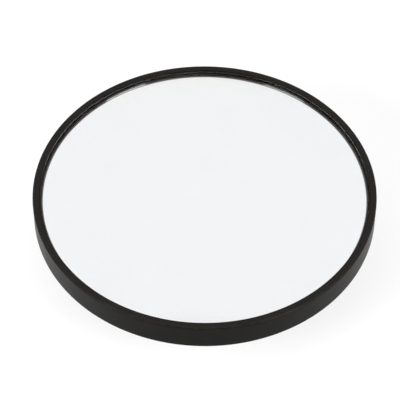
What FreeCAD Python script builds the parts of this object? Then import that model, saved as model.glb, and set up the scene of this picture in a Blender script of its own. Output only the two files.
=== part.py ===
"""Round convex security mirror on an adjustable ball-joint wall bracket.

All sizes are in millimetres. The wall plane is Z = 0 and the mirror looks along +Z. The
origin is the centre of the wall pad's back face. Every piece is written as its own STEP
file in the folder parts.
"""
import FreeCAD
import Part
import math
import os

# Overall layout
rim_outer_r = 150.0
ball_centre_z = 53.0
rim_bottom_z = 75.0
rim_height = 24.0
rim_top_z = rim_bottom_z + rim_height

# Mirror dome: clear sheet with a reflective layer on its back
dome_curve_r = 500.0
dome_sheet = 2.0
dome_edge_r = 146.5
dome_recess = 3.0
silver_layer = 0.4
silver_edge_r = 145.5

# Rim
rim_opening_r = 143.7
rim_lip = 2.4
rim_wall = 2.3
rim_draft = 0.7
shoulder_round = 1.2
boss_ring_r = 142.5
boss_r = 3.6
boss_top_z = 91.0
bezel_screw_count = 8

# Seals between dome, rim and back pan
gasket_inner_r = 144.3
gasket_outer_r = 146.8
foam_inner_r = 131.0
foam_outer_r = 138.3

# Back pan
pan_outer_r = 147.8
pan_sheet = 2.5
pan_floor_z = rim_bottom_z + 2.0
hub_pad_r = 42.0
hub_pad_z = rim_bottom_z
hub_r = 14.0
hub_top_z = 86.0
ring_wall_r = 133.0
foam_shelf_z = 92.0
rib_count = 12

# Fasteners of the head
bezel_screw_r = 1.5
plate_screw_r = 2.0
plate_screw_ring_r = 27.0
plate_screw_count = 4
plate_boss_r = 5.0
mounting_plate_r = 36.0
mounting_plate_sheet = 2.5
mounting_plate_z = hub_pad_z - mounting_plate_sheet
washer_thick = 1.7
jam_nut_thick = 4.2
nut_across_flats = 13.0
captive_nut_thick = 6.5

# Ball joint
stud_r = 4.0
stud_foot_z = 46.0
stud_top_z = 90.0
running_gap = 0.05
ball_r = 11.0
ball_flat_z = ball_centre_z + 10.0
seat_gap = 0.06
seat_outer_r = 14.0
seat_foot_z = 39.0
seat_shoulder_z = 55.5
seat_top_z = 58.2
seat_top_r = 12.3
slot_width = 1.6
slot_foot_z = 47.0

# Clamp ring
thread_r = 16.0
collar_outer_r = 19.0
collar_foot_z = 46.0
collar_top_z = 60.5
grip_outer_r = 21.5
grip_flutes = 20

# Wall side
pad_r = 44.0
pad_sheet = 1.0
wall_plate_r = 45.0
wall_plate_sheet = 3.5
wall_plate_top_z = pad_sheet + wall_plate_sheet
wall_hole_r = 2.75
wall_hole_ring_r = 35.0
wall_hole_count = 4
post_flange_r = 21.0
post_column_r = 12.5
cup_r = 17.0
cup_foot_z = 33.0
cup_top_z = 56.0
spigot_r = 7.0
spigot_height = 4.0
post_screw_r = 2.0
post_screw_ring_r = 8.0
post_screw_count = 3
post_screw_top_z = 16.5

ORIGIN = FreeCAD.Vector(0, 0, 0)
UP = FreeCAD.Vector(0, 0, 1)


def turned(*outline):
    """Solid of revolution about Z from a closed outline of (radius, height) corners."""
    corners = [FreeCAD.Vector(r, 0, z) for r, z in outline]
    face = Part.Face(Part.makePolygon(corners + corners[:1]))
    return face.revolve(ORIGIN, UP, 360)


def cylinder(radius, foot_z, top_z, x=0.0, y=0.0):
    """Upright cylinder between two heights."""
    return Part.makeCylinder(radius, top_z - foot_z, FreeCAD.Vector(x, y, foot_z), UP)


def hexagon(across_flats, foot_z, top_z):
    """Upright hexagonal prism about the Z axis."""
    corner_r = across_flats / math.sqrt(3)
    corners = []
    for i in range(7):
        angle = math.radians(60 * i)
        corners.append(FreeCAD.Vector(corner_r * math.cos(angle), corner_r * math.sin(angle), foot_z))
    return Part.Face(Part.makePolygon(corners)).extrude(UP * (top_z - foot_z))


def ring_spots(count, radius, first_deg=0.0):
    """Evenly spaced (x, y) points on a circle."""
    spots = []
    for i in range(count):
        angle = math.radians(first_deg + 360.0 * i / count)
        spots.append((radius * math.cos(angle), radius * math.sin(angle)))
    return spots


def rounded(shape, radius, *spots):
    """Fillet the circular edges about Z that lie at the given (radius, height) spots."""
    edges = []
    for edge in shape.Edges:
        if not isinstance(edge.Curve, Part.Circle):
            continue
        centre = edge.Curve.Center
        if math.hypot(centre.x, centre.y) > 0.01:
            continue
        for r, z in spots:
            if abs(edge.Curve.Radius - r) < 0.01 and abs(centre.z - z) < 0.01:
                edges.append(edge)
    return shape.makeFillet(radius, edges)


def dome_ball(depth):
    """Full ball whose surface lies the given depth below the mirror's front surface."""
    edge_z = rim_top_z - dome_recess
    centre_z = edge_z - math.sqrt(dome_curve_r**2 - rim_opening_r**2)
    return Part.makeSphere(dome_curve_r - depth, FreeCAD.Vector(0, 0, centre_z))


def dome_layer(outer_depth, inner_depth, edge_r):
    """Part of a spherical shell that lies inside a cylinder of the given radius."""
    shell = dome_ball(outer_depth).cut(dome_ball(inner_depth))
    return shell.common(cylinder(edge_r, rim_bottom_z, rim_top_z + 40.0))


def cross_recess(x, y, mouth_z, depth, size):
    """Cross-shaped driver recess, cut upwards from mouth_z."""
    long_bar = Part.makeBox(size, size / 4, depth, FreeCAD.Vector(x - size / 2, y - size / 8, mouth_z))
    cross_bar = Part.makeBox(size / 4, size, depth, FreeCAD.Vector(x - size / 8, y - size / 2, mouth_z))
    return long_bar.fuse(cross_bar)


def pan_head_screw(x, y, seat_z, top_z, shank_r, head_r, head_height):
    """Screw driven upwards: its head hangs below seat_z and its shank ends at top_z."""
    shank = cylinder(shank_r, seat_z, top_z, x, y)
    head = cylinder(head_r, seat_z - head_height, seat_z, x, y)
    lower_edges = [e for e in head.Edges if abs(e.BoundBox.ZMax - (seat_z - head_height)) < 0.01]
    head = head.makeFillet(head_height * 0.45, lower_edges)
    recess = cross_recess(x, y, seat_z - head_height, head_height * 0.6, head_r * 1.1)
    return head.fuse(shank).cut(recess).removeSplitter()


# Mirror head


def make_mirror_lens():
    """Clear domed sheet."""
    return dome_layer(0.0, dome_sheet, dome_edge_r)


def make_mirror_silvering():
    """Reflective layer with its backing coat."""
    return dome_layer(dome_sheet, dome_sheet + silver_layer, silver_edge_r)


def make_front_bezel():
    """Rim: inner lip, crowned front ring, rounded shoulder, drafted skirt, screw bosses."""
    lip_z = rim_top_z - rim_lip
    foot_r = rim_outer_r + rim_draft
    rim = turned(
        (rim_opening_r, lip_z),
        (rim_opening_r, rim_top_z - 0.3),
        (rim_outer_r - 4.0, rim_top_z),
        (rim_outer_r, rim_top_z),
        (foot_r, rim_bottom_z),
        (foot_r - rim_wall, rim_bottom_z),
        (rim_outer_r - rim_wall, lip_z),
    )
    rim = rounded(rim, shoulder_round, (rim_outer_r, rim_top_z))
    rim = rounded(rim, 0.4, (rim_opening_r, rim_top_z - 0.3), (foot_r, rim_bottom_z))
    floor_top_z = pan_floor_z + pan_sheet
    for i, (x, y) in enumerate(ring_spots(bezel_screw_count, boss_ring_r, 22.5)):
        boss = cylinder(boss_r, floor_top_z, boss_top_z, x, y)
        web = Part.makeBox(
            rim_outer_r - rim_wall / 2 - boss_ring_r,
            3.0,
            boss_top_z - floor_top_z,
            FreeCAD.Vector(boss_ring_r, -1.5, floor_top_z),
        )
        web.rotate(ORIGIN, UP, 22.5 + 360.0 * i / bezel_screw_count)
        rim = rim.fuse(boss.fuse(web))
    for x, y in ring_spots(bezel_screw_count, boss_ring_r, 22.5):
        rim = rim.cut(cylinder(bezel_screw_r, floor_top_z - 1.0, boss_top_z - 2.0, x, y))
    return rim.removeSplitter()


def make_lens_gasket():
    """Soft ring that fills the wedge between the rim's lip and the dome."""
    lip_z = rim_top_z - rim_lip
    ring = turned(
        (gasket_inner_r, lip_z - 6.0),
        (gasket_inner_r, lip_z),
        (gasket_outer_r, lip_z),
        (gasket_outer_r, lip_z - 6.0),
    )
    ring = ring.cut(dome_ball(0.0))
    return ring.common(cylinder(dome_edge_r, rim_bottom_z, rim_top_z))


def make_foam_ring():
    """Foam ring between the pan's shelf and the back of the dome."""
    ring = turned(
        (foam_inner_r, foam_shelf_z),
        (foam_inner_r, rim_top_z + 4.0),
        (foam_outer_r, rim_top_z + 4.0),
        (foam_outer_r, foam_shelf_z),
    )
    return ring.common(dome_ball(dome_sheet + silver_layer))


def make_back_shell():
    """Back pan: stepped floor, foam shelf, radial ribs, hub with a hexagon pocket, bosses."""
    floor_top_z = pan_floor_z + pan_sheet
    pad_top_z = hub_pad_z + pan_sheet
    pan = turned(
        (0.0, hub_pad_z),
        (hub_pad_r, hub_pad_z),
        (hub_pad_r + 3.0, pan_floor_z),
        (pan_outer_r, pan_floor_z),
        (pan_outer_r, floor_top_z),
        (ring_wall_r + pan_sheet, floor_top_z),
        (ring_wall_r + pan_sheet, foam_shelf_z - 2.0),
        (foam_outer_r, foam_shelf_z - 2.0),
        (foam_outer_r, foam_shelf_z),
        (foam_inner_r, foam_shelf_z),
        (foam_inner_r, foam_shelf_z - 2.0),
        (ring_wall_r, foam_shelf_z - 2.0),
        (ring_wall_r, floor_top_z),
        (hub_pad_r + 2.0, floor_top_z),
        (hub_pad_r - 1.0, pad_top_z),
        (0.0, pad_top_z),
    )
    for i in range(rib_count):
        rib = Part.makeBox(
            ring_wall_r + 1.0 - hub_r + 1.0,
            2.0,
            8.5,
            FreeCAD.Vector(hub_r - 1.0, -1.0, pad_top_z - 1.0),
        )
        rib.rotate(ORIGIN, UP, 15.0 + 360.0 * i / rib_count)
        pan = pan.fuse(rib)
    pan = pan.fuse(cylinder(hub_r, pad_top_z - 1.0, hub_top_z))
    for x, y in ring_spots(plate_screw_count, plate_screw_ring_r, 45.0):
        pan = pan.fuse(cylinder(plate_boss_r, pad_top_z - 1.0, hub_top_z, x, y))
    pan = pan.cut(hexagon(nut_across_flats + 0.2, pad_top_z, hub_top_z + 1.0))
    pan = pan.cut(cylinder(stud_r + 0.2, hub_pad_z - 1.0, hub_top_z))
    for x, y in ring_spots(plate_screw_count, plate_screw_ring_r, 45.0):
        pan = pan.cut(cylinder(plate_screw_r, hub_pad_z - 1.0, hub_top_z - 2.0, x, y))
    for x, y in ring_spots(bezel_screw_count, boss_ring_r, 22.5):
        pan = pan.cut(cylinder(bezel_screw_r + 0.3, pan_floor_z - 1.0, floor_top_z + 1.0, x, y))
    return pan.removeSplitter()


def make_bezel_screws():
    """Self-tapping screws that hold the pan to the rim's bosses."""
    screws = []
    for x, y in ring_spots(bezel_screw_count, boss_ring_r, 22.5):
        screws.append(pan_head_screw(x, y, pan_floor_z, boss_top_z - 3.0, bezel_screw_r, 3.0, 1.9))
    return Part.makeCompound(screws)


def make_mounting_plate():
    """Round steel plate under the hub."""
    plate = cylinder(mounting_plate_r, mounting_plate_z, hub_pad_z)
    plate = rounded(plate, 0.6, (mounting_plate_r, mounting_plate_z))
    plate = plate.cut(cylinder(stud_r + 0.2, mounting_plate_z - 1.0, hub_pad_z + 1.0))
    for x, y in ring_spots(plate_screw_count, plate_screw_ring_r, 45.0):
        plate = plate.cut(cylinder(plate_screw_r + 0.25, mounting_plate_z - 1.0, hub_pad_z + 1.0, x, y))
    return plate


def make_plate_screws():
    """Screws that hold the mounting plate to the hub's bosses."""
    screws = []
    for x, y in ring_spots(plate_screw_count, plate_screw_ring_r, 45.0):
        screws.append(pan_head_screw(x, y, mounting_plate_z, hub_top_z - 3.0, plate_screw_r, 3.6, 2.2))
    return Part.makeCompound(screws)


def make_nut(foot_z, top_z):
    """Hexagon nut on the stud, its corners taken off at both ends."""
    chamfer = turned(
        (0.0, foot_z),
        (nut_across_flats / 2, foot_z),
        (nut_across_flats / 2 + 1.2, foot_z + 0.6),
        (nut_across_flats / 2 + 1.2, top_z - 0.6),
        (nut_across_flats / 2, top_z),
        (0.0, top_z),
    )
    nut = hexagon(nut_across_flats, foot_z, top_z).common(chamfer)
    return nut.cut(cylinder(stud_r, foot_z - 1.0, top_z + 1.0))


def make_captive_nut():
    """Nut held in the hub's pocket."""
    foot_z = hub_pad_z + pan_sheet
    return make_nut(foot_z, foot_z + captive_nut_thick)


def make_jam_nut():
    """Thin nut that locks the stud against the mounting plate."""
    top_z = mounting_plate_z - washer_thick
    return make_nut(top_z - jam_nut_thick, top_z)


def make_lock_washer():
    """Split spring washer between the thin nut and the mounting plate."""
    foot_z = mounting_plate_z - washer_thick
    washer = cylinder(6.8, foot_z, mounting_plate_z).cut(cylinder(stud_r + 0.1, foot_z - 1.0, mounting_plate_z + 1.0))
    split = Part.makeBox(1.0, 8.0, washer_thick + 2.0, FreeCAD.Vector(-0.5, 0.0, foot_z - 1.0))
    return washer.cut(split)


def make_pivot_stud():
    """Stud with bevelled ends, turning in the ball's bore."""
    bevel = 0.8
    return turned(
        (0.0, stud_foot_z),
        (stud_r - bevel, stud_foot_z),
        (stud_r, stud_foot_z + bevel),
        (stud_r, stud_top_z - bevel),
        (stud_r - bevel, stud_top_z),
        (0.0, stud_top_z),
    )


# Ball joint


def make_pivot_ball():
    """Ball with a flat top and a blind bore for the stud."""
    ball = Part.makeSphere(ball_r, FreeCAD.Vector(0, 0, ball_centre_z))
    ball = ball.cut(cylinder(ball_r, ball_flat_z, ball_centre_z + ball_r + 1.0))
    return ball.cut(cylinder(stud_r + running_gap, stud_foot_z - 0.3, ball_flat_z + 1.0))


def make_ball_seat():
    """Slotted seat around the ball, with a cone on top for the clamp ring."""
    seat = turned(
        (0.0, seat_foot_z + running_gap),
        (seat_outer_r, seat_foot_z + running_gap),
        (seat_outer_r, seat_shoulder_z),
        (seat_top_r, seat_top_z),
        (0.0, seat_top_z),
    )
    seat = seat.cut(Part.makeSphere(ball_r + seat_gap, FreeCAD.Vector(0, 0, ball_centre_z)))
    seat = seat.cut(cylinder(4.0, seat_foot_z - 1.0, ball_centre_z))
    for i in range(2):
        slot = Part.makeBox(
            40.0,
            slot_width,
            20.0,
            FreeCAD.Vector(-20.0, -slot_width / 2, slot_foot_z),
        )
        slot.rotate(ORIGIN, UP, 45.0 + 90.0 * i)
        seat = seat.cut(slot)
    return seat


def make_clamp_collar():
    """Ring on the socket's thread; its inner cone faces the seat's cone."""
    cone_slope = (seat_outer_r - seat_top_r) / (seat_top_z - seat_shoulder_z)
    mouth_z = cup_top_z + 0.4
    mouth_r = seat_outer_r + 0.42 - cone_slope * (mouth_z - seat_shoulder_z)
    lip_r = seat_outer_r + 0.42 - cone_slope * (collar_top_z - seat_shoulder_z)
    collar = turned(
        (thread_r + running_gap, collar_foot_z),
        (collar_outer_r, collar_foot_z),
        (collar_outer_r, collar_top_z - 1.5),
        (collar_outer_r - 1.5, collar_top_z),
        (lip_r, collar_top_z),
        (mouth_r, mouth_z),
        (thread_r + running_gap, mouth_z),
    )
    return collar


def make_collar_grip():
    """Fluted soft sleeve on the clamp ring."""
    foot_z = collar_foot_z + 1.0
    top_z = collar_top_z - 2.0
    grip = cylinder(grip_outer_r, foot_z, top_z)
    grip = rounded(grip, 0.8, (grip_outer_r, foot_z), (grip_outer_r, top_z))
    grip = grip.cut(cylinder(collar_outer_r, foot_z - 1.0, top_z + 1.0))
    for x, y in ring_spots(grip_flutes, grip_outer_r + 0.9):
        grip = grip.cut(cylinder(1.9, foot_z - 1.0, top_z + 1.0, x, y))
    return grip


# Wall side


def make_bracket_post():
    """Post: flange on the wall plate, waisted column, spigot for the cup."""
    post = turned(
        (0.0, wall_plate_top_z),
        (post_flange_r, wall_plate_top_z),
        (post_flange_r, wall_plate_top_z + 3.5),
        (post_column_r + 1.5, wall_plate_top_z + 9.0),
        (post_column_r, wall_plate_top_z + 16.0),
        (post_column_r, cup_foot_z),
        (spigot_r, cup_foot_z),
        (spigot_r, cup_foot_z + spigot_height),
        (0.0, cup_foot_z + spigot_height),
    )
    post = rounded(post, 1.2, (post_flange_r, wall_plate_top_z + 3.5))
    for x, y in ring_spots(post_screw_count, post_screw_ring_r, 90.0):
        post = post.cut(cylinder(post_screw_r, wall_plate_top_z - 1.0, post_screw_top_z + 1.0, x, y))
    return post


def make_socket_cup():
    """Cup on the post's spigot: flared foot, outer thread and the bore of the ball seat."""
    return turned(
        (0.0, cup_foot_z + spigot_height),
        (spigot_r, cup_foot_z + spigot_height),
        (spigot_r, cup_foot_z),
        (post_column_r + 0.5, cup_foot_z),
        (cup_r, seat_foot_z),
        (cup_r, collar_foot_z - 1.5),
        (thread_r, collar_foot_z - 1.5),
        (thread_r, cup_top_z),
        (seat_outer_r + running_gap, cup_top_z),
        (seat_outer_r + running_gap, seat_foot_z),
        (0.0, seat_foot_z),
    )


def make_wall_plate():
    """Round steel plate with fixing holes and countersinks for the post's screws."""
    plate = cylinder(wall_plate_r, pad_sheet, wall_plate_top_z)
    plate = rounded(plate, 1.4, (wall_plate_r, wall_plate_top_z))
    for x, y in ring_spots(wall_hole_count, wall_hole_ring_r, 45.0):
        plate = plate.cut(cylinder(wall_hole_r, 0.0, wall_plate_top_z + 1.0, x, y))
    for x, y in ring_spots(post_screw_count, post_screw_ring_r, 90.0):
        plate = plate.cut(cylinder(post_screw_r + 0.2, 0.0, wall_plate_top_z + 1.0, x, y))
        sink = Part.makeCone(4.2, 2.1, 2.1, FreeCAD.Vector(x, y, pad_sheet), UP)
        plate = plate.cut(sink)
    return plate


def make_wall_pad():
    """Thin pad between the plate and the wall, with holes a little wider than the plate's."""
    pad = cylinder(pad_r, 0.0, pad_sheet)
    for x, y in ring_spots(wall_hole_count, wall_hole_ring_r, 45.0):
        pad = pad.cut(cylinder(wall_hole_r + 0.75, -1.0, pad_sheet + 1.0, x, y))
    return pad


def make_post_screws():
    """Countersunk screws from the plate's back into the post."""
    screws = []
    for x, y in ring_spots(post_screw_count, post_screw_ring_r, 90.0):
        head = Part.makeCone(3.9, post_screw_r, 1.9, FreeCAD.Vector(x, y, pad_sheet + 0.1), UP)
        shank = cylinder(post_screw_r, pad_sheet + 2.0, post_screw_top_z, x, y)
        screw = head.fuse(shank).cut(cross_recess(x, y, pad_sheet + 0.1, 1.2, 4.0))
        screws.append(screw.removeSplitter())
    return Part.makeCompound(screws)


PIECES = {
    "mirror_lens": make_mirror_lens,
    "mirror_silvering": make_mirror_silvering,
    "front_bezel": make_front_bezel,
    "lens_gasket": make_lens_gasket,
    "foam_ring": make_foam_ring,
    "back_shell": make_back_shell,
    "bezel_screws": make_bezel_screws,
    "mounting_plate": make_mounting_plate,
    "plate_screws": make_plate_screws,
    "captive_nut": make_captive_nut,
    "jam_nut": make_jam_nut,
    "lock_washer": make_lock_washer,
    "pivot_stud": make_pivot_stud,
    "pivot_ball": make_pivot_ball,
    "ball_seat": make_ball_seat,
    "clamp_collar": make_clamp_collar,
    "collar_grip": make_collar_grip,
    "socket_cup": make_socket_cup,
    "bracket_post": make_bracket_post,
    "wall_plate": make_wall_plate,
    "wall_pad": make_wall_pad,
    "post_screws": make_post_screws,
}


def main():
    """Build every piece and write it as STEP."""
    os.makedirs("parts", exist_ok=True)
    for name, make in PIECES.items():
        make().exportStep("parts/" + name + ".step")


main()
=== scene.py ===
"""Looks of a round convex security mirror on an adjustable ball-joint wall bracket.

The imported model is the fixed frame: +Z runs out of the wall along the mirror's axis and the
origin is the centre of the wall pad's back face. Sizes in this file are metres unless a name
ends in _mm. New surfaces are worked out with numpy on (angle, profile) grids.
"""

import logging
import math
from dataclasses import dataclass
from enum import Enum
from typing import Any, Callable, Dict, List, Optional, Sequence, Tuple, Union

import bpy
import numpy as np
from mathutils import Matrix, Vector


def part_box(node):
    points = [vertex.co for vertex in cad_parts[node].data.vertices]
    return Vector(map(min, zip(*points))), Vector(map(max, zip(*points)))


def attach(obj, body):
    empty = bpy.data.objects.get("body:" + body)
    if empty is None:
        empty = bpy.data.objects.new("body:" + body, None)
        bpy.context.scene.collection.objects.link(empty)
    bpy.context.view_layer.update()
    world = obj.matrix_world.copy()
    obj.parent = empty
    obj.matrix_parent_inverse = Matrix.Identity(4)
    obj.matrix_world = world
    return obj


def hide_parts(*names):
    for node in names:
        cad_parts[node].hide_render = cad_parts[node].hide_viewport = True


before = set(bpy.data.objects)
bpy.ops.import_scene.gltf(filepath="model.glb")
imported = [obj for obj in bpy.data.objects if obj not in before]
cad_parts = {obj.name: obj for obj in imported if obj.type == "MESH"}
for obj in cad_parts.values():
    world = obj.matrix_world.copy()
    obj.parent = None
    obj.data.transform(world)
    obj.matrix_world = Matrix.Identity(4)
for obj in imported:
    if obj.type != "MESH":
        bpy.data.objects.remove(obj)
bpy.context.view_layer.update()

MM = 0.001
TAU = 2.0 * math.pi
SHARP_DEG = 38.0  # edges sharper than this stay crisp
CUT_SHARP_DEG = 30.0  # the same, on a piece with cut holes
ON_AXIS = 1e-9  # radii below this lie on the Z axis
Corner = Tuple[float, float, float]
Colour = Tuple[float, float, float, float]
Shift = Callable[[np.ndarray, np.ndarray, np.ndarray], np.ndarray]

log = logging.getLogger("mirror")


def rgb(red: float, green: float, blue: float) -> Colour:
    """Opaque linear colour."""
    return (red, green, blue, 1.0)


# Shader graphs


class Signal:
    """A socket that takes part in Python arithmetic; each operator adds one Math node."""

    def __init__(self, graph: "Graph", socket: bpy.types.NodeSocket) -> None:
        """Keep the graph that new nodes go into and the wrapped socket."""
        self.graph = graph
        self.socket = socket

    def maths(self, operation: str, *others: Any) -> "Signal":
        """Apply a Math node to this signal and others.

        Args:
            operation: Blender's name of the operation.
            others: numbers or signals for the other inputs.

        Returns:
            The node's result.
        """
        inputs = {i: v for i, v in enumerate((self, *others))}
        return self.graph.add("ShaderNodeMath", {"operation": operation}, inputs)

    def reflected(self, operation: str, first: float) -> "Signal":
        """Apply a Math node with a plain number as its first input."""
        return self.graph.add("ShaderNodeMath", {"operation": operation}, {0: first, 1: self})

    def __add__(self, other: Any) -> "Signal":
        """Sum."""
        return self.maths("ADD", other)

    def __radd__(self, other: float) -> "Signal":
        """Sum with a number on the left."""
        return self.reflected("ADD", other)

    def __sub__(self, other: Any) -> "Signal":
        """Difference."""
        return self.maths("SUBTRACT", other)

    def __rsub__(self, other: float) -> "Signal":
        """Difference with a number on the left."""
        return self.reflected("SUBTRACT", other)

    def __mul__(self, other: Any) -> "Signal":
        """Product."""
        return self.maths("MULTIPLY", other)

    def __rmul__(self, other: float) -> "Signal":
        """Product with a number on the left."""
        return self.reflected("MULTIPLY", other)

    def __pow__(self, other: Any) -> "Signal":
        """Power."""
        return self.maths("POWER", other)

    def __abs__(self) -> "Signal":
        """Absolute value."""
        return self.maths("ABSOLUTE")

    def step(self, low: float, high: float) -> "Signal":
        """Smooth rise from 0 at low to 1 at high.

        Args:
            low: signal at which the rise starts.
            high: signal at which it ends.

        Returns:
            The rise, between 0 and 1.
        """
        settings = {"interpolation_type": "SMOOTHSTEP", "clamp": True}
        inputs = {"Value": self, "From Min": low, "From Max": high, "To Min": 0.0, "To Max": 1.0}
        return self.graph.add("ShaderNodeMapRange", settings, inputs)

    def band(self, centre: float, half_width: float) -> "Signal":
        """Soft band: 1 where the signal equals centre, 0 beyond half_width from it."""
        return 1.0 - abs(self - centre).step(0.0, half_width)


class Graph:
    """Node tree of a material or a world, with the few helpers that the finishes share."""

    def __init__(self, owner: Union[bpy.types.Material, bpy.types.World]) -> None:
        """Empty the owner's node tree and keep it.

        Args:
            owner: the material or world to work on.
        """
        owner.use_nodes = True
        self.owner = owner
        self.tree = owner.node_tree
        self.tree.nodes.clear()

    @classmethod
    def named(cls, name: str) -> "Graph":
        """Graph of a new material."""
        return cls(bpy.data.materials.new(name))

    def add(
        self,
        kind: str,
        settings: Optional[Dict[str, Any]] = None,
        inputs: Optional[Dict[Union[int, str], Any]] = None,
        output: Union[int, str] = 0,
    ) -> Signal:
        """Add a node of any kind.

        Args:
            kind: the node's type name.
            settings: the node's properties, set first.
            inputs: socket name or index to a number, colour, vector or Signal.
            output: name or index of the output to return.

        Returns:
            The chosen output.
        """
        node = self.tree.nodes.new(kind)
        for key, value in (settings or {}).items():
            setattr(node, key, value)
        for key, value in (inputs or {}).items():
            if isinstance(value, Signal):
                self.tree.links.new(value.socket, node.inputs[key])
            else:
                node.inputs[key].default_value = value
        return Signal(self, node.outputs[output] if len(node.outputs) else None)

    def place(self) -> Signal:
        """Object coordinates, which are metres in the row frame."""
        return self.add("ShaderNodeTexCoord", output="Object")

    def axes(self) -> Tuple[Signal, Signal, Signal]:
        """The three Object coordinates as separate signals.

        Returns:
            X, Y and Z in metres.
        """
        split = self.add("ShaderNodeSeparateXYZ", inputs={0: self.place()})
        outputs = split.socket.node.outputs
        return tuple(Signal(self, outputs[i]) for i in range(3))

    def radius(self) -> Signal:
        """Distance from the Z axis."""
        x, y, _ = self.axes()
        return (x * x + y * y) ** 0.5

    def noise(
        self,
        scale: float,
        detail: float = 2.0,
        rough: float = 0.5,
        vector: Optional[Signal] = None,
        seed: float = 0.0,
    ) -> Signal:
        """Fractal noise between 0 and 1.

        Args:
            scale: cycles per metre.
            detail: how many finer layers are added.
            rough: strength of each finer layer.
            vector: coordinates, if not the Object ones.
            seed: which pattern of many.

        Returns:
            The noise.
        """
        inputs = {
            "Vector": vector or self.place(),
            "W": seed,
            "Scale": scale,
            "Detail": detail,
            "Roughness": rough,
        }
        return self.add("ShaderNodeTexNoise", {"noise_dimensions": "4D"}, inputs)

    def stretched(self, sx: float, sy: float, sz: float) -> Signal:
        """Object coordinates scaled apart along the axes, for marks that run one way.

        Args:
            sx: scale along X.
            sy: scale along Y.
            sz: scale along Z.

        Returns:
            The scaled coordinates.
        """
        return self.add(
            "ShaderNodeMapping", inputs={"Vector": self.place(), "Scale": (sx, sy, sz)}
        )

    def turned_place(self) -> Signal:
        """Coordinates for lathe grain: (radius, 0, height), so grain runs round the axis."""
        _, _, z = self.axes()
        return self.add("ShaderNodeCombineXYZ", inputs={0: self.radius(), 1: 0.0, 2: z})

    def blend(self, factor: Any, first: Any, second: Any) -> Signal:
        """Mix two colours.

        Args:
            factor: 0 shows the first colour, 1 the second.
            first: colour or Signal.
            second: colour or Signal.

        Returns:
            The mixed colour.
        """
        inputs = {0: factor, 6: first, 7: second}
        return self.add("ShaderNodeMix", {"data_type": "RGBA"}, inputs, output=2)

    def bump(self, height: Signal, distance: float) -> Signal:
        """Normal bent by a height signal; distance is the relief in metres."""
        return self.add("ShaderNodeBump", inputs={"Height": height, "Distance": distance})

    def shade(self, **sockets: Any) -> bpy.types.Material:
        """Finish the material with one Principled shader.

        Args:
            sockets: socket names with underscores for spaces, and their values or signals.

        Returns:
            The material.
        """
        inputs = {name.replace("_", " "): value for name, value in sockets.items()}
        shader = self.add("ShaderNodeBsdfPrincipled", inputs=inputs)
        self.add("ShaderNodeOutputMaterial", inputs={"Surface": shader})
        return self.owner


# Finishes


@dataclass(frozen=True)
class MouldedPlastic:
    """Satin moulded plastic: spark-eroded grain, flow mottling, dust, and a lighter band at the
    shoulder edge that is partly rubbed wear and partly a painted highlight.
    """

    name: str
    dark: Colour
    light: Colour
    dust_and_highlight: Colour
    roughness: float
    grain_per_m: float = 2600.0
    grain_depth: float = 0.00003
    specular: float = 0.3
    rub_highlight_radius: float = 0.0
    rub_highlight_height: float = 0.0
    front_height: float = 0.0
    gloss_radius: float = 0.0
    gloss_height: float = 0.0
    dust_amount: float = 0.25
    mottle_per_m: float = 55.0
    cloud_per_m: float = 9.0
    speck_per_m: float = 900.0
    scuff_per_m: float = 260.0
    front_dust: float = 0.11
    front_fade: float = 0.00025
    rub_highlight_amount: float = 0.1
    rub_highlight_width: float = 0.0016
    rub_highlight_depth: float = 0.0018
    gloss_roughness: float = 0.05
    gloss_fade: float = 0.0002
    gloss_top_fade: float = 0.0003

    def material(self) -> bpy.types.Material:
        """Build the material.

        Returns:
            The finished material.
        """
        g = Graph.named(self.name)
        grain = g.noise(self.grain_per_m, 2.0, 0.6)
        mottle = g.noise(self.mottle_per_m, 3.0, 0.55, seed=3.0)
        cloud = g.noise(self.cloud_per_m, 2.0, 0.5, seed=8.0)
        specks = g.noise(self.speck_per_m, 1.0, 0.5, seed=5.0).step(0.70, 0.78)
        colour = g.blend(mottle.step(0.3, 0.7), self.dark, self.light)
        dusty = specks * cloud.step(0.45, 0.7) * self.dust_amount
        colour = g.blend(dusty, colour, self.dust_and_highlight)
        rough = self.roughness + (mottle - 0.5) * 0.12 + (grain - 0.5) * 0.10
        if self.front_height:
            front = g.axes()[2].step(self.front_height - self.front_fade, self.front_height)
            colour = g.blend(front * (mottle * 0.3 + 0.7) * self.front_dust, colour, self.dust_and_highlight)
        # Lighter band round the shoulder edge: partly rubbed wear, partly a painted highlight
        # line.
        if self.rub_highlight_radius:
            _, _, z = g.axes()
            ring = g.radius().band(self.rub_highlight_radius, self.rub_highlight_width)
            ring = ring * z.band(self.rub_highlight_height, self.rub_highlight_depth)
            rubbed_and_highlit = ring * g.noise(self.scuff_per_m, 3.0, 0.6, seed=12.0).step(0.3, 0.8)
            colour = g.blend(rubbed_and_highlit * self.rub_highlight_amount, colour, self.dust_and_highlight)
            rough = rough - rubbed_and_highlit * 0.1
        gloss: Any = 0.0
        if self.gloss_radius:
            edge = self.gloss_radius + self.gloss_fade
            inner = 1.0 - g.radius().step(self.gloss_radius, edge)
            lowest = self.gloss_height - self.gloss_top_fade
            below = 1.0 - g.axes()[2].step(lowest, self.gloss_height)
            gloss = inner * below
        relief = grain * 0.75 + mottle * 0.25
        return g.shade(
            Base_Color=colour,
            Roughness=rough,
            Specular_IOR_Level=self.specular,
            Coat_Weight=gloss,
            Coat_Roughness=self.gloss_roughness,
            Normal=g.bump(relief, self.grain_depth),
        )


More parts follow.
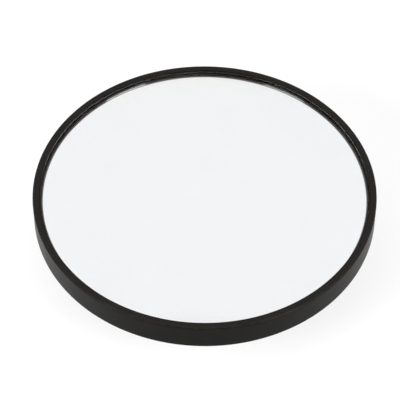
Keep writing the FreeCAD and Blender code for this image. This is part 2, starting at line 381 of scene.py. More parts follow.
@dataclass(frozen=True)
class ClearAcrylic:
    """Polished clear sheet with faint wiping swirls."""

    name: str = "clear_acrylic"
    tint: Colour = rgb(0.985, 0.99, 0.99)
    ior: float = 1.49

    def material(self) -> bpy.types.Material:
        """Build the material.

        Returns:
            The finished material.
        """
        g = Graph.named(self.name)
        swirl = g.noise(14.0, 2.0, 0.5, seed=2.0)
        lines = g.noise(700.0, 1.0, 0.5, g.stretched(1.0, 0.06, 1.0), seed=4.0).step(0.66, 0.75)
        haze = g.blend(lines * swirl.step(0.5, 0.8) * 0.06, self.tint, rgb(0.93, 0.94, 0.94))
        return g.shade(
            Base_Color=haze,
            Roughness=lines * swirl * 0.004,
            Transmission_Weight=1.0,
            IOR=self.ior,
        )


@dataclass(frozen=True)
class Silvering:
    """Vacuum-coated reflective layer."""

    name: str = "silvering"
    colour: Colour = rgb(0.93, 0.93, 0.94)
    thin: Colour = rgb(0.915, 0.915, 0.925)

    def material(self) -> bpy.types.Material:
        """Build the material.

        Returns:
            The finished material.
        """
        g = Graph.named(self.name)
        cloud = g.noise(22.0, 2.0, 0.5, seed=6.0)
        colour = g.blend(cloud.step(0.35, 0.75), self.colour, self.thin)
        return g.shade(Base_Color=colour, Metallic=1.0, Roughness=cloud * 0.006)


@dataclass(frozen=True)
class SoftRubber:
    """Matt black rubber with a fine grain and a grey bloom."""

    name: str
    dark: Colour = rgb(0.010, 0.010, 0.010)
    bloom: Colour = rgb(0.045, 0.044, 0.042)
    grain_per_m: float = 1900.0

    def material(self) -> bpy.types.Material:
        """Build the material.

        Returns:
            The finished material.
        """
        g = Graph.named(self.name)
        grain = g.noise(self.grain_per_m, 3.0, 0.6)
        patches = g.noise(60.0, 3.0, 0.6, seed=4.0)
        colour = g.blend(patches.step(0.4, 0.75) * 0.6, self.dark, self.bloom)
        return g.shade(
            Base_Color=colour,
            Roughness=0.72 + (grain - 0.5) * 0.2,
            Specular_IOR_Level=0.25,
            Normal=g.bump(grain, 0.00005),
        )


@dataclass(frozen=True)
class ClosedFoam:
    """Closed-cell foam: small round cells."""

    name: str = "foam"
    cells_per_m: float = 1300.0
    cell_depth: float = 0.0002

    def material(self) -> bpy.types.Material:
        """Build the material.

        Returns:
            The finished material.
        """
        g = Graph.named(self.name)
        inputs = {"Vector": g.place(), "Scale": self.cells_per_m}
        cells = g.add("ShaderNodeTexVoronoi", inputs=inputs, output="Distance")
        colour = g.blend(cells, rgb(0.05, 0.05, 0.05), rgb(0.14, 0.14, 0.135))
        relief = g.bump(cells, self.cell_depth)
        return g.shade(Base_Color=colour, Roughness=0.9 - cells * 0.1, Normal=relief)


class Grain(Enum):
    """Which way the marks of a metal surface run."""

    ROUND_THE_AXIS = "round the axis"
    NONE = "none"


@dataclass(frozen=True)
class BareMetal:
    """Plated, turned or polished metal with directional marks and small stains."""

    name: str
    colour: Colour
    stain: Colour
    roughness: float
    grain: Grain
    grain_per_m: float = 2400.0
    grain_depth: float = 0.00001

    def material(self) -> bpy.types.Material:
        """Build the material.

        Returns:
            The finished material.
        """
        g = Graph.named(self.name)
        if self.grain is Grain.ROUND_THE_AXIS:
            marks = g.noise(self.grain_per_m, 2.0, 0.6, g.turned_place())
        else:
            marks = g.noise(self.grain_per_m, 2.0, 0.6)
        patches = g.noise(130.0, 3.0, 0.6, seed=9.0)
        colour = g.blend(patches.step(0.45, 0.8) * 0.55, self.colour, self.stain)
        rough = self.roughness + (marks - 0.5) * 0.16 + patches.step(0.5, 0.8) * 0.08
        return g.shade(
            Base_Color=colour,
            Metallic=1.0,
            Roughness=rough,
            Normal=g.bump(marks, self.grain_depth),
        )


@dataclass(frozen=True)
class PowderCoat:
    """Satin powder coat: low orange-peel waves, fine grit and a few rubbed spots."""

    name: str = "black_coated_metal"
    colour: Colour = rgb(0.012, 0.012, 0.012)
    worn: Colour = rgb(0.05, 0.049, 0.047)

    def material(self) -> bpy.types.Material:
        """Build the material.

        Returns:
            The finished material.
        """
        g = Graph.named(self.name)
        peel = g.noise(420.0, 1.0, 0.4)
        grit = g.noise(3000.0, 1.0, 0.5, seed=2.0)
        patches = g.noise(45.0, 3.0, 0.6, seed=7.0)
        colour = g.blend(patches.step(0.5, 0.8) * 0.4, self.colour, self.worn)
        return g.shade(
            Base_Color=colour,
            Roughness=0.38 + (grit - 0.5) * 0.14 + patches.step(0.5, 0.8) * 0.1,
            Specular_IOR_Level=0.45,
            Normal=g.bump(peel * 0.8 + grit * 0.2, 0.00008),
        )


@dataclass(frozen=True)
class NaturalNylon:
    """Milky nylon with a faint bloom."""

    name: str = "white_nylon"

    def material(self) -> bpy.types.Material:
        """Build the material.

        Returns:
            The finished material.
        """
        g = Graph.named(self.name)
        cloud = g.noise(160.0, 2.0, 0.5)
        fine = g.noise(1500.0, 2.0, 0.5, seed=3.0)
        colour = g.blend(cloud, rgb(0.70, 0.68, 0.60), rgb(0.78, 0.77, 0.71))
        return g.shade(
            Base_Color=colour, Roughness=0.4 + fine * 0.12, Normal=g.bump(fine, 0.00002)
        )


# Surfaces


def softened(corners: Sequence[Corner], steps: int = 6, closed: bool = True) -> np.ndarray:
    """Outline whose corners are replaced by arcs.

    Each corner (radius, height, bend) becomes a circular arc tangent to its two sides: the
    arc starts at bend / tan(half the inside angle) from the corner, and its points are the
    centre plus the radius turned evenly from one tangent point to the other.

    Args:
        corners: (radius, height, bend radius) in metres.
        steps: points per arc.
        closed: whether the last corner joins the first.

    Returns:
        Array of (radius, height) points.
    """
    points: List[np.ndarray] = []
    spots = np.array([c[:2] for c in corners])
    count = len(corners)
    for i, (spot, (_, _, bend)) in enumerate(zip(spots, corners)):
        if bend <= 0.0 or (not closed and i in (0, count - 1)):
            points.append(spot[None])
            continue
        before = spots[i - 1] - spot
        after = spots[(i + 1) % count] - spot
        before_len, after_len = np.linalg.norm(before), np.linalg.norm(after)
        before, after = before / before_len, after / after_len
        half = math.acos(float(np.clip(before @ after, -1.0, 1.0))) / 2.0
        reach = min(bend / math.tan(half), before_len * 0.49, after_len * 0.49)
        bend = reach * math.tan(half)
        middle = before + after
        centre = spot + middle / np.linalg.norm(middle) * (bend / math.sin(half))
        start = spot + before * reach - centre
        end = spot + after * reach - centre
        turn = math.atan2(start[0] * end[1] - start[1] * end[0], float(start @ end))
        angles = np.linspace(0.0, turn, steps)
        cos, sin = np.cos(angles), np.sin(angles)
        arc = np.stack([start[0] * cos - start[1] * sin, start[0] * sin + start[1] * cos], 1)
        points.append(centre + arc)
    return np.concatenate(points)


def subdivided(outline: np.ndarray, longest: float, closed: bool = True) -> np.ndarray:
    """Outline with extra points, so that no side is longer than a limit.

    Args:
        outline: (radius, height) points.
        longest: longest side allowed.
        closed: whether the last point joins the first.

    Returns:
        The denser outline.
    """
    ends = np.roll(outline, -1, axis=0) if closed else outline[1:]
    starts = outline if closed else outline[:-1]
    pieces = []
    for a, b in zip(starts, ends):
        parts = max(1, int(math.ceil(float(np.linalg.norm(b - a)) / longest)))
        pieces.append(a + (b - a) * (np.arange(parts) / parts)[:, None])
    if not closed:
        pieces.append(outline[-1:])
    return np.concatenate(pieces)


@dataclass
class Surface:
    """Points and faces of one or more closed skins."""

    points: np.ndarray
    faces: List[np.ndarray]

    def plus(self, other: "Surface") -> "Surface":
        """Both skins as one surface."""
        renumbered = [f + len(self.points) for f in other.faces]
        return Surface(np.concatenate([self.points, other.points]), self.faces + renumbered)

    def moved(self, x: float, y: float) -> "Surface":
        """The same surface shifted across the wall."""
        return Surface(self.points + np.array([x, y, 0.0]), self.faces)


def grid_faces(rows: int, columns: int, wrap_rows: bool, wrap_columns: bool) -> np.ndarray:
    """Four-sided faces of a grid of points numbered row by row.

    Args:
        rows: number of rows.
        columns: points in a row.
        wrap_rows: whether the last row joins the first.
        wrap_columns: whether the last column joins the first.

    Returns:
        Four point numbers per face.
    """
    i = np.arange(rows if wrap_rows else rows - 1)
    j = np.arange(columns if wrap_columns else columns - 1)
    i, j = [a.ravel() for a in np.meshgrid(i, j, indexing="ij")]
    i2, j2 = (i + 1) % rows, (j + 1) % columns
    return np.stack([i * columns + j, i * columns + j2, i2 * columns + j2, i2 * columns + j], 1)


def revolved(
    outline: np.ndarray,
    segments: int,
    push: Optional[Shift] = None,
    lift: Optional[Shift] = None,
    angles: Optional[np.ndarray] = None,
) -> Surface:
    """Surface of revolution about Z.

    A point at angle a on a profile point (r, z) lies at (r' cos a, r' sin a, z'), with
    r' = r + push(a, r, z) and z' = z + lift(a, r, z). A profile that starts and ends on the
    axis gets a single point at each pole; any other profile is closed on itself.

    Args:
        outline: (radius, height) points.
        segments: number of even angle steps.
        push: optional radial offset.
        lift: optional height offset.
        angles: optional uneven angles, which replace the even ones.

    Returns:
        The closed surface.
    """
    a = np.arange(segments) * TAU / segments if angles is None else angles
    poled = outline[0, 0] < ON_AXIS and outline[-1, 0] < ON_AXIS
    body = outline[1:-1] if poled else outline
    r, angle = np.meshgrid(body[:, 0], a, indexing="ij")
    z = np.repeat(body[:, 1:2], len(a), axis=1)
    r_new = r + push(angle, r, z) if push else r
    z_new = z + lift(angle, r, z) if lift else z
    points = np.stack([r_new * np.cos(angle), r_new * np.sin(angle), z_new], 2).reshape(-1, 3)
    faces = [grid_faces(len(body), len(a), not poled, True)]
    if poled:
        ring = np.arange(len(a))
        nxt = (ring + 1) % len(a)
        last = (len(body) - 1) * len(a)
        first_pole, last_pole = len(points), len(points) + 1
        poles = np.array([[0.0, 0.0, outline[0, 1]], [0.0, 0.0, outline[-1, 1]]])
        points = np.concatenate([points, poles])
        faces.append(np.stack([np.full_like(ring, first_pole), nxt, ring], 1))
        faces.append(np.stack([np.full_like(ring, last_pole), last + ring, last + nxt], 1))
    return Surface(points, faces)


def signed_volume(surface: Surface) -> float:
    """Volume inside a closed surface, negative where its faces point inwards.

    Args:
        surface: the closed surface.

    Returns:
        The volume in cubic metres.
    """
    total = 0.0
    for faces in surface.faces:
        p = surface.points[faces]
        for k in range(1, faces.shape[1] - 1):
            total += float(np.einsum("ij,ij->", p[:, 0], np.cross(p[:, k], p[:, k + 1]))) / 6.0
    return total


def outward(surface: Surface) -> Surface:
    """The same closed surface with its faces pointing outwards.

    Args:
        surface: the closed surface.

    Returns:
        The surface, turned inside out where it had to be.
    """
    if signed_volume(surface) >= 0.0:
        return surface
    return Surface(surface.points, [f[:, ::-1] for f in surface.faces])


def make_piece(name: str, surface: Surface, material: bpy.types.Material) -> bpy.types.Object:
    """Mesh object at the origin from a closed surface.

    Args:
        name: object name.
        surface: the surface, its faces already outward.
        material: the only material.

    Returns:
        The object.
    """
    mesh = bpy.data.meshes.new(name)
    faces = [row for block in surface.faces for row in block.tolist()]
    mesh.from_pydata(surface.points.tolist(), [], faces)
    mesh.polygons.foreach_set("use_smooth", np.ones(len(mesh.polygons), bool))
    mesh.set_sharp_from_angle(angle=math.radians(SHARP_DEG))
    mesh.materials.append(material)
    mesh.validate()
    mesh.update()
    piece = bpy.data.objects.new(name, mesh)
    bpy.context.scene.collection.objects.link(piece)
    return piece


def fit_piece(
    name: str,
    surface: Surface,
    material: bpy.types.Material,
    body: str,
    nodes: Sequence[str],
) -> bpy.types.Object:
    """Make a piece, hang it on its body and let it stand for CAD nodes.

    Args:
        name: object name.
        surface: the closed surface.
        material: the only material.
        body: body that the piece rides.
        nodes: CAD nodes that it stands for.

    Returns:
        The object.
    """
    piece = make_piece(name, outward(surface), material)
    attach(piece, body)
    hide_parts(*nodes)
    log.info("%s: %d points on %s", name, len(surface.points), body)
    return piece


def dress_node(node: str, material: bpy.types.Material) -> None:
    """Give a CAD node that stays in view its material.

    Args:
        node: name of the CAD node.
        material: its new material.
    """
    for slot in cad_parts[node].material_slots:
        slot.material = material
    log.info("%s: CAD node dressed in %s", node, material.name)


def heights(node: str) -> Tuple[float, float]:
    """Lowest and highest Z of a CAD node."""
    low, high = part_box(node)
    return float(low.z), float(high.z)


# Shared shapes


def ring_spots(count: int, radius: float, first_deg: float) -> List[Tuple[float, float]]:
    """Evenly spaced (x, y) points on a circle."""
    turns = np.radians(first_deg + 360.0 * np.arange(count) / count)
    return list(zip((radius * np.cos(turns)).tolist(), (radius * np.sin(turns)).tolist()))


def copies(surface: Surface, spots: Sequence[Tuple[float, float]]) -> Surface:
    """One copy of a surface at every (x, y) spot.

    Args:
        surface: the surface to repeat.
        spots: (x, y) places.

    Returns:
        All the copies as one surface.
    """
    every = surface.moved(*spots[0])
    for spot in spots[1:]:
        every = every.plus(surface.moved(*spot))
    return every


def smooth_rise(value: np.ndarray, low: float, high: float) -> np.ndarray:
    """Smooth step: 3 t^2 - 2 t^3, where t runs from 0 at low to 1 at high."""
    t = np.clip((value - low) / (high - low), 0.0, 1.0)
    return t * t * (3.0 - 2.0 * t)


def smooth_band(value: np.ndarray, low: float, high: float, soft: float) -> np.ndarray:
    """1 between low and high, fading to 0 over a soft margin inside each end."""
    return smooth_rise(value, low, low + soft) * (1.0 - smooth_rise(value, high - soft, high))


@dataclass(frozen=True)
class Thread:
    """Helical ridge of a screw thread on a turned surface.

    The radius falls by depth times a triangle wave of (height / pitch - angle / one turn),
    faded in and out over half a pitch at both ends.
    """

    pitch: float
    depth: float
    low: float
    high: float
    crest_r: float

    def push(self, angle: np.ndarray, r: np.ndarray, z: np.ndarray) -> np.ndarray:
        """Radial offset at every grid point; only the crest's wall is cut.

        Args:
            angle: angle of every grid point.
            r: radius of every grid point.
            z: height of every grid point.

        Returns:
            The offset, zero off the wall.
        """
        phase = np.mod(z / self.pitch - angle / TAU, 1.0)
        wave = 1.0 - np.abs(2.0 * phase - 1.0)
        fade = smooth_band(z, self.low, self.high, self.pitch * 0.5)
        on_wall = np.abs(r - self.crest_r) < 0.02 * MM
        return -self.depth * wave * fade * on_wall

    def rows(self) -> np.ndarray:
        """Heights of the profile points that the helix needs."""
        return np.arange(self.low, self.high, self.pitch / 8.0)


def hexagon_nut(across_flats: float, low: float, high: float, bore: float) -> Surface:
    """Hexagon nut about Z.

    The outside radius is the smaller of the hexagon, half the flats over the cosine of the
    angle from the nearest flat's middle, and a cone that climbs 1.7 to 1 from each face.

    Args:
        across_flats: distance between opposite flats.
        low: height of the lower face.
        high: height of the upper face.
        bore: radius of the hole.

    Returns:
        The closed surface.
    """
    flat = across_flats / 2.0
    corner_r = flat / math.cos(math.pi / 6.0)
    rise = np.linspace(0.0, (corner_r - flat) / 1.7 * 1.15, 7)
    face_r = flat * 0.96
    lower = np.stack([np.full(7, corner_r), low + rise], 1)
    upper = np.stack([np.full(7, corner_r), high - rise[::-1]], 1)
    outline = np.concatenate(
        [
            [[bore + 0.35 * MM, low], [face_r, low]],
            lower[1:],
            upper[:-1],
            [[face_r, high], [bore + 0.35 * MM, high]],
            [[bore, high - 0.35 * MM], [bore, low + 0.35 * MM]],
        ]
    )

    def push(angle: np.ndarray, r: np.ndarray, z: np.ndarray) -> np.ndarray:
        """Bring the corner circle in to the hexagon and the cone.

        Args:
            angle: angle of every grid point.
            r: radius of every grid point.
            z: height of every grid point.

        Returns:
            The radial offset.
        """
        off = np.mod(angle, math.pi / 3.0) - math.pi / 6.0
        hexagon = flat / np.cos(off)
        cone = face_r + 1.7 * np.minimum(z - low, high - z)
        return np.where(r > face_r + 1e-7, np.minimum(hexagon, cone) - r, 0.0)

    return revolved(outline, 96, push=push)


def pan_head_screw(
    head_r: float, head_height: float, shank_r: float, seat_z: float, tip_z: float
) -> Surface:
    """Screw whose head hangs below seat_z, with a cross recess, about Z.

    The head is a flattened dome: its height falls with the fourth power of the radius. The
    recess lifts the points of two crossed bars, with soft edges, and tapers to their ends.

    Args:
        head_r: radius of the head.
        head_height: height of the head.
        shank_r: radius of the shank.
        seat_z: height at which the head seats.
        tip_z: height of the tip.

    Returns:
        The closed surface, its faces outward.
    """
    across = np.linspace(0.0, 0.97, 30)
    dome_z = seat_z - head_height * (1.0 - 0.55 * across**4)
    side = np.array([[1.0, 0.62], [1.0, 0.3], [0.985, 0.06], [0.95, 0.0]])
    shank = np.array(
        [
            [shank_r * 1.12, seat_z],
            [shank_r, seat_z + shank_r * 0.3],
            [shank_r, tip_z - shank_r],
            [shank_r * 0.4, tip_z],
            [0.0, tip_z],
        ]
    )
    outline = np.concatenate(
        [
            np.stack([across * head_r, dome_z], 1),
            np.stack([side[:, 0] * head_r, seat_z - head_height * side[:, 1] * 0.72], 1),
            shank,
        ]
    )

    def lift(angle: np.ndarray, r: np.ndarray, z: np.ndarray) -> np.ndarray:
        """Depth of the cross recess under the head's dome.

        Args:
            angle: angle of every grid point.
            r: radius of every grid point.
            z: height of every grid point.

        Returns:
            The height offset.
        """
        x, y = np.abs(r * np.cos(angle)), np.abs(r * np.sin(angle))
        reach, half = head_r * 0.58, head_r * 0.13
        bars = []
        for along, over in ((x, y), (y, x)):
            width = 1.0 - smooth_rise(over, half * 0.75, half * 1.35)
            length = 1.0 - smooth_rise(along, reach * 0.62, reach)
            bars.append(width * length)
        on_dome = z < seat_z - head_height * 0.35
        return head_height * 0.55 * np.maximum(*bars) * on_dome

    return outward(revolved(outline, 64, lift=lift))


def cut_with(piece: bpy.types.Object, cutters: Sequence[bpy.types.Object]) -> None:
    """Subtract cutters from a piece and drop them; the result is the piece's plain mesh.

    Args:
        piece: the object to cut.
        cutters: closed objects that are taken away.
    """
    for cutter in cutters:
        modifier = piece.modifiers.new("cut", "BOOLEAN")
        modifier.operation = "DIFFERENCE"
        modifier.solver = "EXACT"
        modifier.object = cutter
    graph = bpy.context.evaluated_depsgraph_get()
    made = bpy.data.meshes.new_from_object(piece.evaluated_get(graph))
    piece.modifiers.clear()
    piece.data = made
    made.polygons.foreach_set("use_smooth", np.ones(len(made.polygons), bool))
    made.set_sharp_from_angle(angle=math.radians(CUT_SHARP_DEG))
    for cutter in cutters:
        bpy.data.objects.remove(cutter)


# Mirror head


@dataclass
class MirrorHead:
    """Rim, domed mirror, seals, back pan and the fasteners that hold them together."""

    body: str = "mirror_head"
    opening_r: float = 143.7 * MM
    outer_r: float = 150.0 * MM
    draft: float = 0.7 * MM
    wall: float = 2.3 * MM
    lip: float = 2.4 * MM
    dome_curve_r: float = 500.0 * MM
    dome_recess: float = 3.0 * MM
    dome_sheet: float = 2.0 * MM
    dome_edge_r: float = 146.5 * MM
    silver: float = 0.4 * MM
    silver_edge_r: float = 145.5 * MM
    gasket_inner_r: float = 144.3 * MM
    gasket_outer_r: float = 146.8 * MM
    pad_r: float = 42.0 * MM
    pan_r: float = 147.8 * MM
    pan_sheet: float = 2.5 * MM
    ring_wall_r: float = 133.0 * MM
    shelf_inner_r: float = 131.0 * MM
    shelf_outer_r: float = 138.3 * MM
    shelf_z: float = 92.0 * MM
    channel_count: int = 12
    boss_ring_r: float = 142.5 * MM
    boss_r: float = 3.6 * MM
    boss_top_z: float = 91.0 * MM
    bezel_screw_count: int = 8
    plate_r: float = 36.0 * MM
    plate_screw_ring_r: float = 27.0 * MM
    plate_screw_count: int = 4
    nut_flats: float = 13.0 * MM
    stud_r: float = 4.0 * MM
    round_steps: int = 288
    pan_rise: float = 2.0 * MM
    first_screw_deg: float = 22.5
    first_plate_screw_deg: float = 45.0
    first_channel_deg: float = 15.0
    boss_bore_r: float = 1.55 * MM
    groove_depth: float = 0.6 * MM
    channel_inner_r: float = 54.0 * MM
    channel_outer_r: float = 124.0 * MM
    channel_depth: float = 0.8 * MM
    well_depth: float = 0.7 * MM
    thread_foot_z: float = 63.2 * MM
    plate_screw_tip_z: float = 83.0 * MM

    def __post_init__(self) -> None:
        """Take the heights from the CAD."""
        self.foot_z, self.top_z = heights("front_bezel")
        self.pan_z = self.foot_z + self.pan_rise
        edge_z = self.top_z - self.dome_recess
        self.dome_centre_z = edge_z - math.sqrt(self.dome_curve_r**2 - self.opening_r**2)

    def dome_height(self, r: np.ndarray, depth: float) -> np.ndarray:
        """Height of a sphere concentric with the dome, depth below its front, at radius r."""
        return self.dome_centre_z + np.sqrt((self.dome_curve_r - depth) ** 2 - r**2)

    def dome_surface(self, top_depth: float, foot_depth: float, edge_r: float) -> Surface:
        """Closed domed sheet.

        The profile climbs the lower sphere from the axis to the edge, turns a half round
        whose radius is half the sheet, and comes back along the upper sphere.

        Args:
            top_depth: depth of its top below the dome's front.
            foot_depth: depth of its underside.
            edge_r: radius of its edge.

        Returns:
            The closed surface.
        """
        half = (foot_depth - top_depth) / 2.0
        climb = np.linspace(0.0, edge_r - half, 72)
        turn = np.linspace(-math.pi / 2.0, math.pi / 2.0, 10)[1:-1]
        lower = self.dome_height(climb, foot_depth)
        upper = self.dome_height(climb, top_depth)
        edge_mid = (lower[-1] + upper[-1]) / 2.0
        tall = (upper[-1] - lower[-1]) / 2.0
        edge = np.stack([climb[-1] + half * np.cos(turn), edge_mid + tall * np.sin(turn)], 1)
        profile = np.concatenate(
            [np.stack([climb, lower], 1), edge, np.stack([climb, upper], 1)[::-1]]
        )
        return revolved(profile, self.round_steps)

    def rim_surface(self) -> Surface:
        """Rim: lip, crowned front ring, rounded shoulder and drafted skirt, one closed loop.

        Returns:
            The closed surface.
        """
        lip_z = self.top_z - self.lip
        foot_r = self.outer_r + self.draft
        corners = [
            (self.opening_r, lip_z, 0.35 * MM),
            (self.opening_r, self.top_z - 0.2 * MM, 0.4 * MM),
            (self.opening_r + 2.2 * MM, self.top_z, 6.0 * MM),
            (self.outer_r, self.top_z, 1.0 * MM),
            (foot_r, self.foot_z, 0.45 * MM),
            (foot_r - self.wall, self.foot_z, 0.5 * MM),
            (self.outer_r - self.wall, lip_z, 0.3 * MM),
        ]
        outline = subdivided(softened(corners, 8), 2.5 * MM)
        return revolved(outline, 2 * self.round_steps)

    def boss_surface(self) -> Surface:
        """Screw bosses inside the rim: tubes of a rounded outline.

        Returns:
            The closed surface.
        """
        low = self.pan_z + self.pan_sheet
        bore = self.boss_bore_r
        corners = [
            (bore, low, 0.1 * MM),
            (self.boss_r, low, 0.2 * MM),
            (self.boss_r, self.boss_top_z, 0.4 * MM),
            (bore, self.boss_top_z, 0.2 * MM),
        ]
        tube = outward(revolved(softened(corners, 4), 32))
        spots = ring_spots(self.bezel_screw_count, self.boss_ring_r, self.first_screw_deg)
        return copies(tube, spots)

    def gasket_surface(self) -> Surface:
        """Wedge-shaped ring between the lip and the dome.

        Returns:
            The closed surface.
        """
        lip_z = self.top_z - self.lip
        inner, outer = self.gasket_inner_r, self.gasket_outer_r
        corners = [
            (inner, lip_z, 0.15 * MM),
            (outer, lip_z, 0.15 * MM),
            (outer, float(self.dome_height(self.dome_edge_r, 0.0)), 0.15 * MM),
            (inner, float(self.dome_height(inner, 0.0)) + 0.01 * MM, 0.1 * MM),
        ]
        return revolved(softened(corners, 4), self.round_steps)

    def pan_angles(self) -> np.ndarray:
        """Angles of the back pan's grid: even ones, and closer ones at channels and screws.

        Returns:
            The angles in rising order.
        """
        even = np.arange(240) * TAU / 240
        channels = np.radians(
            self.first_channel_deg + 360.0 / self.channel_count * np.arange(self.channel_count)
        )
        near = np.radians(np.linspace(-2.6, 2.6, 14))
        screws = np.radians(
            self.first_screw_deg
            + 360.0 / self.bezel_screw_count * np.arange(self.bezel_screw_count)
        )
        close = np.radians(np.linspace(-2.6, 2.6, 22))
        every = [even, (channels[:, None] + near).ravel(), (screws[:, None] + close).ravel()]
        angles = np.sort(np.mod(np.concatenate(every), TAU))
        keep = np.concatenate([[True], np.diff(angles) > math.radians(0.08)])
        return angles[keep]

    def pan_lift(self, angle: np.ndarray, r: np.ndarray, z: np.ndarray) -> np.ndarray:
        """Relief of the pan's underside.

        Radial channels are wedges about each rib's angle, wells are round dishes about each
        screw; both are smooth bands, and only points near the underside take them.

        Args:
            angle: angle of every grid point.
            r: radius of every grid point.
            z: height of every grid point.

        Returns:
            The height offset.
        """
        underside = (z < self.pan_z + 0.3 * MM) & (r > self.pad_r + 4.0 * MM)
        spacing = TAU / self.channel_count
        off = np.mod(angle - spacing / 2.0, spacing)
        off = np.minimum(off, spacing - off)
        wedge = 1.0 - smooth_rise(np.degrees(off), 1.1, 2.1)
        channel = wedge * smooth_band(
            r, self.channel_inner_r, self.channel_outer_r, 5.0 * MM
        )
        pitch = TAU / self.bezel_screw_count
        turn = np.mod(angle, pitch) - pitch / 2.0
        away = np.hypot(r * np.cos(turn) - self.boss_ring_r, r * np.sin(turn))
        well = 1.0 - smooth_rise(away, 4.2 * MM, 5.0 * MM)
        return underside * np.maximum(channel * self.channel_depth, well * self.well_depth)

    def pan_surface(self) -> Surface:
        """Back pan: hub pad, conical step, floor with two rings of grooves, foam shelf.

        Returns:
            The closed surface.
        """
        pad_top = self.foot_z + self.pan_sheet
        floor_top = self.pan_z + self.pan_sheet
        wall_out = self.ring_wall_r + self.pan_sheet
        shelf_foot = self.shelf_z - 2.0 * MM
        bore = self.stud_r + 0.2 * MM
        pan_z, groove = self.pan_z, self.groove_depth
        corners = [
            (bore, self.foot_z, 0.0),
            (self.pad_r, self.foot_z, 0.8 * MM),
            (self.pad_r + 3.0 * MM, pan_z, 1.2 * MM),
            (49.0 * MM, pan_z, 0.4 * MM),
            (49.6 * MM, pan_z + groove, 0.4 * MM),
            (51.0 * MM, pan_z + groove, 0.4 * MM),
            (51.6 * MM, pan_z, 0.4 * MM),
            (128.0 * MM, pan_z, 0.4 * MM),
            (128.6 * MM, pan_z + groove, 0.4 * MM),
            (130.6 * MM, pan_z + groove, 0.4 * MM),
            (131.2 * MM, pan_z, 0.4 * MM),
            (self.pan_r, pan_z, 0.5 * MM),
            (self.pan_r, floor_top, 0.3 * MM),
            (wall_out, floor_top, 0.5 * MM),
            (wall_out, shelf_foot, 0.4 * MM),
            (self.shelf_outer_r, shelf_foot, 0.3 * MM),
            (self.shelf_outer_r, self.shelf_z, 0.3 * MM),
            (self.shelf_inner_r, self.shelf_z, 0.3 * MM),
            (self.shelf_inner_r, shelf_foot, 0.3 * MM),
            (self.ring_wall_r, shelf_foot, 0.4 * MM),
            (self.ring_wall_r, floor_top, 0.5 * MM),
            (self.pad_r + 2.0 * MM, floor_top, 1.0 * MM),
            (self.pad_r - 1.0 * MM, pad_top, 1.0 * MM),
            (bore, pad_top, 0.0),
        ]
        outline = softened(corners, 4)
        dense = subdivided(outline, 6.0 * MM)
        wells = np.arange(136.6, 147.2, 0.75) * MM
        row = np.stack([wells, np.full(len(wells), pan_z)], 1)
        on_floor = (dense[:, 0] > 131.5 * MM) & (dense[:, 0] < 147.2 * MM)
        on_floor &= dense[:, 1] <= pan_z + 0.001 * MM
        first = int(np.argmax(on_floor))
        dense = np.concatenate([dense[:first], row, dense[first:][~on_floor[first:]]])
        return revolved(dense, 0, lift=self.pan_lift, angles=self.pan_angles())

    def plate_surface(self) -> Surface:
        """Round mounting plate with a pressed groove near its edge.

        Returns:
            The closed surface.
        """
        low, high = heights("mounting_plate")
        bore = self.stud_r + 0.2 * MM
        corners = [
            (bore, low, 0.2 * MM),
            (14.0 * MM, low, 0.3 * MM),
            (14.6 * MM, low + 0.4 * MM, 0.3 * MM),
            (32.0 * MM, low + 0.4 * MM, 0.3 * MM),
            (32.6 * MM, low, 0.3 * MM),
            (self.plate_r, low, 0.6 * MM),
            (self.plate_r, high, 0.2 * MM),
            (bore, high, 0.1 * MM),
        ]
        return revolved(subdivided(softened(corners, 5), 3.0 * MM), 160)

    def washer_surface(self) -> Surface:
        """Split spring washer: a rounded block carried round 345 degrees and up by 0.2 mm.

        Returns:
            The closed surface.
        """
        low, high = heights("lock_washer")
        rise = 0.2 * MM
        block = softened(
            [
                (self.stud_r + 0.1 * MM, low, 0.2 * MM),
                (6.8 * MM, low, 0.2 * MM),
                (6.8 * MM, high - rise, 0.2 * MM),
                (self.stud_r + 0.1 * MM, high - rise, 0.2 * MM),
            ],
            4,
        )
        path = np.radians(np.linspace(97.5, 442.5, 90))
        r = np.repeat(block[None, :, 0], len(path), 0)
        z = block[None, :, 1] + rise * ((path - path[0]) / (path[-1] - path[0]))[:, None]
        points = np.stack([r * np.cos(path)[:, None], r * np.sin(path)[:, None], z], 2)
        faces = [grid_faces(len(path), len(block), False, True)]
        first = np.arange(len(block))[None]
        last = (len(path) - 1) * len(block) + first
        return Surface(points.reshape(-1, 3), faces + [first, last[:, ::-1]])

    def stud_surface(self) -> Surface:
        """Threaded stud with bevelled ends.

        Returns:
            The closed surface.
        """
        low, high = heights("pivot_stud")
        bevel = 0.8 * MM
        thread = Thread(1.25 * MM, 0.6 * MM, self.thread_foot_z, high - bevel, self.stud_r)
        wall = np.concatenate([[low + bevel], thread.rows(), [high - bevel]])
        outline = np.concatenate(
            [
                [[0.0, low], [self.stud_r - bevel, low]],
                np.stack([np.full(len(wall), self.stud_r), wall], 1),
                [[self.stud_r - bevel, high], [0.0, high]],
            ]
        )
        return revolved(outline, 48, push=thread.push)

